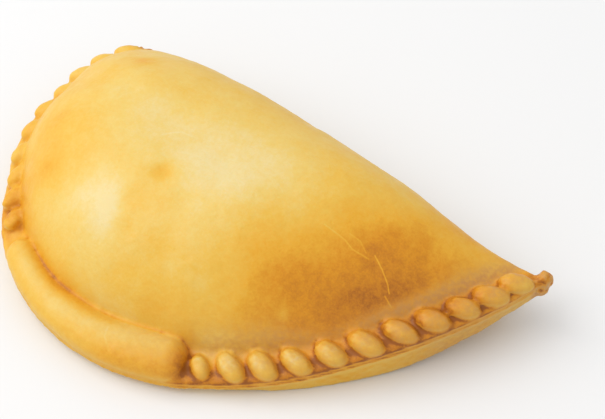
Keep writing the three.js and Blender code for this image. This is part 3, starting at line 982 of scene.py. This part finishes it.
@dataclass(frozen=True)
class BakedCrustFinish:
    """Glazed, unevenly browned dough with painted shade and highlights, driven by what is stored on
    the crust.
    """

    name: str = "baked_crust"
    stops: tuple[tuple[float, BakeTone], ...] = (
        (0.0, BakeTone.CREAM),
        (0.2, BakeTone.STRAW),
        (0.4, BakeTone.GOLD),
        (0.6, BakeTone.AMBER),
        (0.77, BakeTone.RUSSET),
        (0.89, BakeTone.BROWN),
        (1.0, BakeTone.DARK),
    )
    # Each speckle has a size in millimetres, a detail and a strength.
    speckles: tuple[tuple[float, float, float], ...] = (
        (24.0, 3.0, 0.09), (7.0, 4.0, 0.08), (1.5, 3.0, 0.06), (0.55, 2.0, 0.05),
    )
    wrinkles: tuple[Wrinkle, ...] = WRINKLES
    roughness: float = 0.44
    patchiness: float = 0.14
    browned_gloss: float = 0.08
    scatter: float = 0.1

    def build(self) -> bpy.types.Material:
        """Build the material."""
        material = bpy.data.materials.new(self.name)
        material.use_nodes = True
        nodes = Nodes(material.node_tree)
        nodes.tree.nodes.clear()
        place = nodes.add("ShaderNodeTexCoord", {}).outputs["Object"]
        bake_and_shade = self.add_bake_and_shade(nodes, place)
        ramp = nodes.add("ShaderNodeValToRGB", {"Fac": bake_and_shade})
        self.fill_ramp(ramp.color_ramp)
        tan = (*BakeTone.TAN.value, 1.0)
        mixed = {0: self.add_matt(nodes, place), "A": ramp.outputs["Color"], "B": tan}
        colour = nodes.add("ShaderNodeMix", mixed, data_type="RGBA")
        shader = nodes.add(
            "ShaderNodeBsdfPrincipled",
            {
                "Base Color": pick_socket(colour.outputs, "Result"),
                "Roughness": self.add_roughness(nodes, place, bake_and_shade),
                "Normal": self.add_relief(nodes, place),
                "Subsurface Weight": self.scatter,
                "Subsurface Radius": (1.0, 0.55, 0.25),
                "Subsurface Scale": 0.0025,
                "Specular IOR Level": 0.3,
            },
        )
        nodes.add("ShaderNodeOutputMaterial", {"Surface": shader.outputs[0]})
        return material

    def fill_ramp(self, ramp: bpy.types.ColorRamp) -> None:
        """Set the ramp's stops."""
        ramp.interpolation = "LINEAR"
        while len(ramp.elements) < len(self.stops):
            ramp.elements.new(0.5)
        for element, (where, tone) in zip(ramp.elements, self.stops):
            element.position = where
            element.color = (*tone.value, 1.0)

    @staticmethod
    def speckle(nodes: Nodes, place: Any, size: float, detail: float) -> bpy.types.NodeSocket:
        """Spread soft speckles of a size in millimetres, from 0 to 1."""
        values = {"Vector": place, "Scale": 1.0 / (size * MM), "Detail": detail, "Roughness": 0.55}
        return nodes.ramp(nodes.add("ShaderNodeTexNoise", values).outputs["Fac"], 0.3, 0.7)

    def add_bake_and_shade(self, nodes: Nodes, place: Any) -> bpy.types.NodeSocket:
        """Mottle the browning, painted shade and painted highlights stored on the crust from broad
        to fine, and draw the thin lines, the dark ones painted shade along the crease.
        """
        total = nodes.add("ShaderNodeAttribute", {}, attribute_name="bake_and_shade").outputs["Fac"]
        for size, detail, amount in self.speckles:
            speckle = nodes.math("SUBTRACT", self.speckle(nodes, place, size, detail), 0.5)
            total = nodes.math("MULTIPLY_ADD", speckle, amount, total)
        plan = nodes.add("ShaderNodeAttribute", {}, attribute_name="plan").outputs["Vector"]
        for wrinkle in self.wrinkles:
            line = wrinkle.add_line(nodes, plan)
            total = nodes.math("MULTIPLY_ADD", line, -wrinkle.strength, total)
        return nodes.math("ADD", total, 0.0, clamp=True)

    def add_matt(self, nodes: Nodes, place: Any) -> bpy.types.NodeSocket:
        """Freckle the parts where the dough is stored as matt and tan."""
        share = nodes.math("MULTIPLY_ADD", self.speckle(nodes, place, 1.3, 3.0), 0.7, 0.65)
        tan = nodes.add("ShaderNodeAttribute", {}, attribute_name="tan").outputs["Fac"]
        return nodes.math("MULTIPLY", tan, share, clamp=True)

    def add_roughness(self, nodes: Nodes, place: Any, bake_and_shade: Any) -> bpy.types.NodeSocket:
        """Make the glaze patchy, glossier where it browned."""
        patchy = self.speckle(nodes, place, 5.0, 3.0)
        rough = nodes.math("MULTIPLY_ADD", patchy, self.patchiness, self.roughness)
        return nodes.math("MULTIPLY_ADD", bake_and_shade, -self.browned_gloss, rough)

    @staticmethod
    def add_relief(nodes: Nodes, place: Any) -> bpy.types.NodeSocket:
        """Add pores and fine grain too small for the mesh."""
        values = {"Vector": place, "Scale": 1100.0, "Detail": 4.0, "Roughness": 0.6}
        grain = nodes.add("ShaderNodeTexNoise", values).outputs["Fac"]
        values = {"Vector": place, "Scale": 620.0, "Randomness": 1.0}
        pores = nodes.add("ShaderNodeTexVoronoi", values).outputs["Distance"]
        pits = nodes.math("MULTIPLY", nodes.ramp(pores, 0.05, 0.4), 0.4)
        height = nodes.math("MULTIPLY_ADD", grain, 0.6, pits)
        bump = nodes.add("ShaderNodeBump", {"Height": height, "Strength": 0.22, "Distance": 0.0004})
        return bump.outputs[0]


# ------------------------------------------------------------------ the whole crust


@dataclass
class Skin:
    """The crust's points, and where each lies on the pie."""

    heights: PieHeights
    beads: BeadFrames
    points: np.ndarray
    normals: np.ndarray
    depth: np.ndarray = field(init=False)
    place: np.ndarray = field(init=False)
    above: np.ndarray = field(init=False)
    local: np.ndarray = field(init=False)
    reach: np.ndarray = field(init=False)

    def __post_init__(self) -> None:
        """Measure every point from the seam's edge and from its nearest bead."""
        self.depth, self.place = self.heights.plan.from_seam(self.points[:, 0], self.points[:, 1])
        self.above = self.points[:, 2] - self.heights.seam_top(self.place)
        self.local, self.reach = self.beads.nearest(self.points)

    def on_beads(self, full: float, none: float) -> np.ndarray:
        """Tell which points belong to beads: those that reach no further out than given."""
        return 1.0 - smooth_step(full, none, self.reach)

    def take(self, patch: SeamPatch) -> np.ndarray:
        """Tell how much of a patch along the seam each point takes."""
        run = (self.place - patch.place) * self.heights.plan.length
        return patch.weight(run, self.depth)


@dataclass
class PieCrust:
    """All the dough as one skin, with its relief, how far each point is baked, and the shade and
    highlights painted on it.
    """

    heights: PieHeights
    beads: BeadFrames
    voxel: float = 0.63
    smoothing: int = 2
    cavity_rounds: int = 14
    base_bake: float = 0.31
    spots: tuple[Spot, ...] = (
        Spot(58, 0, 21, 11.5, 55, 0.53),
        Spot(33, -20, 10, 6, 30, 0.08),
        Spot(-32.2, -32.7, 3.5, 2.5, 40, 0.13),
        Spot(-39.8, -18.8, 4, 2.5, 70, 0.10),
        Spot(-41, -3.2, 5, 2.5, 60, 0.10),
        Spot(-1.3, -29.6, 3, 4.5, 0, 0.14),
        Spot(6.7, -24.9, 3.5, 3, 0, 0.12),
        Spot(9.5, -34.5, 4, 3, 0, 0.10),
        Spot(7, -43, 4, 3, 0, 0.08),
        Spot(14.7, -42.3, 4, 3, 0, 0.06),
        Spot(-14.5, -33.4, 4.5, 4, 30, -0.10),
        Spot(44, -24, 11, 7, 50, 0.20),
        Spot(9, -8, 17, 11, 10, -0.26),
        Spot(-6, -35, 3, 5.5, 30, -0.26),
        Spot(-14, -37, 9, 5, 20, -0.10),
        Spot(-26, -4, 10, 8, 0, -0.12),
        Spot(-34, -28, 7, 12, 0, 0.13),
        Spot(-0.8, -19.3, 2.3, 2.1, 0, 0.27),
        Spot(28, -14, 6, 5, 40, 0.08),
        Spot(-35.3, 9.8, 2.2, 1.8, 0, 0.25),
        Spot(81, 24, 6, 3.5, 60, -0.10),
        Spot(45.2, -24.5, 0.8, 0.8, 0, -0.15),
    )
    patches: tuple[SeamPatch, ...] = (
        SeamPatch(0.56, 1.0, 18, 3.0, 0.30),
        SeamPatch(0.43, 0.5, 20, 2.0, 0.10),
        SeamPatch(0.53, 7.5, 22, 3.5, -0.15),
        SeamPatch(0.38, 4.0, 20, 2.6, -0.14),
        # Painted shade, with some browning, round the roll's right end where it meets the first
        # bead.
        SeamPatch(0.608, 5.0, 2.5, 4.2, 0.50),
        SeamPatch(0.40, 7.2, 16, 1.7, 0.36),
        SeamPatch(0.47, 9.0, 12, 1.5, 0.34),
        SeamPatch(0.57, 14.0, 9, 1.6, 0.16),
        SeamPatch(0.30, 3.0, 8, 3.5, 0.34),
        SeamPatch(0.18, 3.0, 26, 2.4, 0.24),
        SeamPatch(0.32, 3.0, 7, 3.4, 0.06),
        SeamPatch(0.69, 4.0, 14, 5.0, 0.04),
        SeamPatch(0.93, 3.0, 22, 2.2, 0.12),
        SeamPatch(0.765, 9.0, 10, 1.3, 0.22),
        SeamPatch(0.92, 4.0, 26, 4.5, 0.26),
        SeamPatch(0.81, 8.6, 34, 1.3, -0.20),
        SeamPatch(0.79, 12.6, 20, 2.0, 0.06),
    )
    tan_patches: tuple[SeamPatch, ...] = (
        SeamPatch(0.74, 5.0, 36, 4.0, 0.50),
        SeamPatch(0.92, 5.0, 22, 4.0, 0.72),
        SeamPatch(0.80, 9.0, 40, 1.5, 0.36),
    )
    wrinkles: tuple[Wrinkle, ...] = RAISED_WRINKLES
    # Relief in millimetres.
    lump_height: float = 0.22
    blister_height: float = 0.12
    grain_height: float = 0.05
    crumb_height: float = 0.12
    pleat_height: float = 0.13
    crumple_height: float = 0.22
    groove_depth: float = 0.22
    tip_roughness: float = 0.35
    wrinkle_height: float = 0.12
    # Strengths of the dimple and the mashed patch are heights in millimetres.
    dimple: Spot = Spot(-0.8, -19.3, 2.3, 2.1, 0, -0.32)
    mash: SeamPatch = SeamPatch(0.31, 3.0, 6.0, 3.5, 0.5)
    tips: tuple[tuple[float, float], ...] = ((1.0, 4.2), (0.0, 4.5))
    # Browning, painted shade and painted highlight added by each feature, on the scale of the
    # finish's stops.
    gap_bake: float = 0.34
    fold_bake: float = 0.14
    under_bake: float = 0.06
    tip_bake: float = 0.16
    tip_blotches: float = 0.42
    # Painted shade in hollows and painted highlight on ridges.
    hollow_shade: float = 0.50
    ridge_highlight: float = 0.10
    upper_line_bake: float = 0.28
    lower_line_bake: float = 0.18

    def build(self, parts: list[bpy.types.Object]) -> bpy.types.Object:
        """Fuse the pieces of dough.

        Args:
            parts: The closed meshes that make up the pie.

        Returns:
            The crust, centred on the origin and standing on the ground, in metres.
        """
        crust = self.fuse(parts)
        mesh = crust.data
        near = Neighbours(mesh)
        points = near.average(read_points(mesh), self.smoothing)
        write_points(mesh, points)
        points = points + self.relief(self.measure(mesh, points))
        write_points(mesh, points)
        skin = self.measure(mesh, points)
        bake_and_shade = self.bake_and_shade(skin, near)
        write_attribute(mesh, "bake_and_shade", bake_and_shade)
        write_attribute(mesh, "tan", self.tan(skin) * (1.0 - smooth_step(0.6, 0.9, bake_and_shade)))
        plan_place = mesh.attributes.new("plan", "FLOAT_VECTOR", "POINT")
        plan_place.data.foreach_set("vector", (points * (MM, MM, 0.0)).astype(np.float32).ravel())
        low, high = points.min(0), points.max(0)
        middle = (low + high) / 2.0
        write_points(mesh, points - np.array([middle[0], middle[1], low[2]]))
        mesh.polygons.foreach_set("use_smooth", np.ones(len(mesh.polygons), bool))
        return crust

    def fuse(self, parts: list[bpy.types.Object]) -> bpy.types.Object:
        """Join the pieces and wrap them in one even skin."""
        with bpy.context.temp_override(active_object=parts[0], selected_editable_objects=parts):
            bpy.ops.object.join()
        whole = parts[0]
        wrap = whole.modifiers.new("skin", "REMESH")
        wrap.mode = "VOXEL"
        wrap.voxel_size = self.voxel * MM
        wrap.adaptivity = 0.0
        whole.data.materials.clear()
        return evaluated_copy(whole, "pie_crust")

    def measure(self, mesh: bpy.types.Mesh, points: np.ndarray) -> Skin:
        """Place the mesh's points on the pie."""
        return Skin(self.heights, self.beads, points, read_normals(mesh))

    def relief(self, skin: Skin) -> np.ndarray:
        """Work out how soft lumps, blisters, pleats and grain move each point."""
        points = skin.points
        on_dome = smooth_step(7.0, 14.0, skin.depth)
        on_rim = 1.0 - smooth_step(4.0, 8.0, skin.depth)
        pinched = self.pinched(skin)

        height = self.lump_height * noise_field(points, 13.0, 1, 2) * (0.4 + 0.6 * on_dome)
        height += self.blister_height * np.maximum(noise_field(points, 4.2, 2, 2), 0.0) ** 1.5
        height += self.grain_height * noise_field(points, 1.7, 3, 2)
        height += self.crumb_height * noise_field(points, 1.6, 4) * on_rim

        inner = smooth_step(-0.2, -0.65, skin.local[:, 0]) * skin.on_beads(1.15, 1.5)
        around = np.arctan2(skin.local[:, 2], skin.local[:, 1])
        height += inner * self.pleat_height * np.sin(PLEATS * around)
        height += inner * self.crumple_height * noise_field(points, 1.5, 6)
        height += skin.take(self.mash) * noise_field(points, 2.4, 7, 2)
        edge_on = 1.0 - smooth_step(0.8, 2.2, skin.depth)
        height -= self.groove_depth * bell(skin.above, -1.5, 0.45) * edge_on * (1.0 - pinched)
        height += self.tip_roughness * noise_field(points, 1.9, 11, 2) * pinched

        ridges = self.wrinkle_height * sum(w.ridge(points) for w in self.wrinkles)
        height += (ridges + self.dimple.weight(points)) * on_dome
        off_ground = smooth_step(0.3, 2.5, points[:, 2])
        return skin.normals * (height * off_ground)[:, None]

    def bake_and_shade(self, skin: Skin, near: Neighbours) -> np.ndarray:
        """Work out how far each point is baked, plus painted shade in hollows, round the roll's end
        and on the beads' lower flanks and painted highlights on ridges and bead crowns, 0 being
        cream and 1 dark brown.
        """
        points, depth, place = skin.points, skin.depth, skin.place
        facing_up = smooth_step(-0.3, 0.3, skin.normals[:, 2])
        fold_depth, _ = self.heights.plan.from_fold(points[:, 0], points[:, 1])
        pinched = self.pinched(skin)

        shaded = sum(spot.weight(points) for spot in self.spots)
        shaded += sum(skin.take(patch) for patch in self.patches)
        shaded += self.fold_bake * (1.0 - smooth_step(0.0, 10.0, fold_depth))
        total = self.base_bake + shaded * facing_up + self.under_bake * (1.0 - facing_up)
        total += (self.tip_bake + self.tip_blotches * noise_field(points, 1.5, 12, 2)) * pinched
        # Painted shade in hollows and painted highlight on ridges.
        total += self.crevices(skin, near)
        # Painted shade on the beads' lower flanks and painted highlight on their crowns, with the
        # beads' own tones.
        total += self.bead_tones_shade_and_highlight(skin) * (0.5 + 0.5 * smooth_step(0.4, 0.5, place))
        # Painted glints: pale highlights speckled on the crowns of the right beads.
        speckled = smooth_step(0.6, 0.62, place) * (1.0 - smooth_step(0.74, 0.9, place))
        total -= self.bead_glints(skin) * speckled
        paler = 0.7 * smooth_step(0.76, 0.88, place) + 0.75 * smooth_step(2.5, 4.5, depth) + pinched
        total += self.gap_bake * self.between_beads(skin) * facing_up * np.maximum(1.0 - paler, 0.0)

        edge_on = (1.0 - smooth_step(0.8, 2.4, depth)) * (1.0 - pinched)
        upper = self.upper_line_bake + 0.12 * smooth_step(0.7, 0.8, place)
        lines = upper * bell(skin.above, -0.7, 0.4)
        lines += self.lower_line_bake * bell(skin.above, -2.1, 0.35)
        return total + lines * edge_on

    def tan(self, skin: Skin) -> np.ndarray:
        """Work out how matt and tan each point is, from 0 to 1."""
        total = sum(skin.take(patch) for patch in self.tan_patches)
        left = 1.0 - smooth_step(0.78, 0.9, skin.place)
        inner = smooth_step(2.0, 4.0, skin.depth)
        total *= 1.0 - self.between_beads(skin) * np.maximum(left, inner)
        bead_head = 1.0 - smooth_step(-0.7, 0.1, skin.local[:, 0])
        total *= 1.0 - 0.6 * skin.on_beads(1.1, 1.3) * bead_head
        return np.clip(total + 0.75 * self.pinched(skin), 0.0, 1.0)

    def pinched(self, skin: Skin) -> np.ndarray:
        """Tell how near the pinched tips the points lie."""
        share = np.zeros(len(skin.points))
        for end, reach in self.tips:
            at = self.heights.plan.seam_at(np.array([end]))[0][0]
            away = np.hypot(skin.points[:, 0] - at[0], skin.points[:, 1] - at[1])
            share = np.maximum(share, 1.0 - smooth_step(reach * 0.5, reach * 1.4, away))
        return share

    def crevices(self, skin: Skin, near: Neighbours) -> np.ndarray:
        """Paint shade into hollows, less so at the left and deep between the beads, and paint
        highlights on ridges.
        """
        smooth = near.average(skin.points, self.cavity_rounds)
        hollow = near.average(((smooth - skin.points) * skin.normals).sum(1), 1)
        left = 1.0 - smooth_step(0.32, 0.36, skin.place)
        right = smooth_step(0.77, 0.84, skin.place)
        inner = smooth_step(3.5, 5.5, skin.depth) * smooth_step(0.61, 0.63, skin.place)
        strength = (self.hollow_shade - 0.38 * left - 0.14 * right) * (1.0 - 0.8 * inner)
        darker = strength * smooth_step(0.06, 0.6, hollow)
        return darker - self.ridge_highlight * smooth_step(0.1, 0.7, -hollow)

    @staticmethod
    def between_beads(skin: Skin) -> np.ndarray:
        """Tell where the rim shows between the beads of the right row."""
        on_rim = 1.0 - smooth_step(4.5, 7.5, skin.depth)
        return smooth_step(1.02, 1.22, skin.reach) * on_rim * smooth_step(0.612, 0.622, skin.place)

    @staticmethod
    def bead_tones_shade_and_highlight(skin: Skin) -> np.ndarray:
        """Paint shade on the beads' lower flanks and a pale painted highlight on their crowns, and
        brown their inner ends a little.
        """
        lengthways, up = skin.local[:, 0], skin.local[:, 2]
        # Painted shade on the lower flanks.
        flank_shade = 0.20 * smooth_step(0.15, -0.35, up)
        ring = 0.02 * bell(lengthways, -0.95, 0.18)
        # Painted highlight on the crowns.
        crown = 0.14 * smooth_step(0.35, 0.9, up)
        inner = 0.04 * smooth_step(0.2, -0.7, lengthways)
        return (flank_shade + ring - crown + inner) * skin.on_beads(1.1, 1.4)

    @staticmethod
    def bead_glints(skin: Skin) -> np.ndarray:
        """Speckle the beads' crowns with painted glints: pale highlights of the glaze."""
        crown = smooth_step(0.45, 0.95, skin.local[:, 2]) * smooth_step(0.6, 0.1, skin.local[:, 0])
        pale = np.clip(0.20 + 0.30 * noise_field(skin.points, 1.2, 13, 2), 0.0, 0.4)
        return crown * skin.on_beads(1.1, 1.4) * pale


# ------------------------------------------------------------------ studio


@dataclass(frozen=True)
class Studio:
    """A pale floor, soft light from the left, and the view from the front right, above."""

    azimuth: float = math.radians(40.0)
    elevation: float = math.radians(50.0)
    distance: float = 0.463
    lens: float = 100.0
    target: tuple[float, float, float] = (0.00772, 0.0237, 0.012)
    floor_half: float = 4000.0
    glow: float = 0.78
    key_size: float = 1.3
    key_power: float = 12.2
    key_side: float = 0.78
    key_behind: float = 0.06
    key_height: float = 1.06

    def build(self) -> None:
        """Set up the camera, the floor, the lights and the colours of the view."""
        self.add_camera()
        self.add_floor()
        self.add_lights()
        scene = bpy.context.scene
        scene.view_settings.view_transform = "Standard"
        scene.view_settings.look = "None"

    def back(self) -> Vector:
        """Point from the target to the camera."""
        flat = math.cos(self.elevation)
        x = math.sin(self.azimuth) * flat
        y = -math.cos(self.azimuth) * flat
        return Vector((x, y, math.sin(self.elevation)))

    def add_camera(self) -> None:
        """Place the camera and make it the scene's."""
        data = bpy.data.cameras.new("camera")
        data.lens = self.lens
        data.sensor_width = 36.0
        data.sensor_fit = "HORIZONTAL"
        data.clip_start = 0.01
        data.clip_end = 20.0
        camera = place_object("camera", data)
        camera.location = Vector(self.target) + self.back() * self.distance
        camera.rotation_euler = self.back().to_track_quat("Z", "Y").to_euler()
        bpy.context.scene.camera = camera

    def add_floor(self) -> None:
        """Lay a plain pale floor."""
        corners = np.array([(-1, -1, 0), (1, -1, 0), (1, 1, 0), (-1, 1, 0)], float)
        floor = new_mesh_object("floor", corners * self.floor_half, [(0, 1, 2, 3)])
        paint = bpy.data.materials.new("pale_floor")
        paint.use_nodes = True
        shader = paint.node_tree.nodes["Principled BSDF"]
        shader.inputs["Base Color"].default_value = (0.8, 0.8, 0.8, 1.0)
        shader.inputs["Roughness"].default_value = 0.7
        shader.inputs["Specular IOR Level"].default_value = 0.2
        floor.data.materials.append(paint)

    def add_lights(self) -> None:
        """Hang a large soft light at the left and let the room glow."""
        world = bpy.data.worlds.new("room")
        world.use_nodes = True
        glow = world.node_tree.nodes["Background"]
        glow.inputs["Color"].default_value = (1.0, 1.0, 1.0, 1.0)
        glow.inputs["Strength"].default_value = self.glow
        bpy.context.scene.world = world
        side = Vector((-math.cos(self.azimuth), -math.sin(self.azimuth), 0.0))
        behind = Vector((-math.sin(self.azimuth), math.cos(self.azimuth), 0.0))
        above = Vector((0, 0, self.key_height))
        place = side * self.key_side + behind * self.key_behind + above
        self.add_area("key", place, self.key_size, self.key_power)

    @staticmethod
    def add_area(name: str, place: Vector, size: float, power: float) -> None:
        """Hang a square light that faces the pie."""
        data = bpy.data.lights.new(name, "AREA")
        data.shape = "SQUARE"
        data.size = size
        data.energy = power
        lamp = place_object(name, data)
        lamp.location = place
        lamp.rotation_euler = place.to_track_quat("Z", "Y").to_euler()


def main() -> None:
    """Build the studio and the pie, attach the crust to the model's root body and hide the imported
    part.
    """
    logging.basicConfig(level=logging.INFO, format="%(name)s: %(message)s")
    Studio().build()
    plan = PiePlan()
    heights = PieHeights(plan)
    body = DomeBody(heights).build()
    LOG.info("body: %d faces", len(body.data.polygons))
    crimp = CrimpBeads(heights)
    beads = crimp.build()
    frames = crimp.frames(beads)
    LOG.info("beads: %d faces", sum(len(b.data.polygons) for b in beads))
    roll = FoldedRoll(heights).build()
    LOG.info("roll: %d faces", len(roll.data.polygons))
    knobs = PinchedTips(plan).build()
    LOG.info("knobs: %d faces", sum(len(k.data.polygons) for k in knobs))
    crust = PieCrust(heights, frames).build([body, *beads, roll, *knobs])
    crust.data.materials.append(BakedCrustFinish().build())
    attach(crust, "root")
    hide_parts(NODE)
    LOG.info("crust: %d faces", len(crust.data.polygons))


if __name__ == "__main__":
    main()
    bpy.context.view_layer.update()
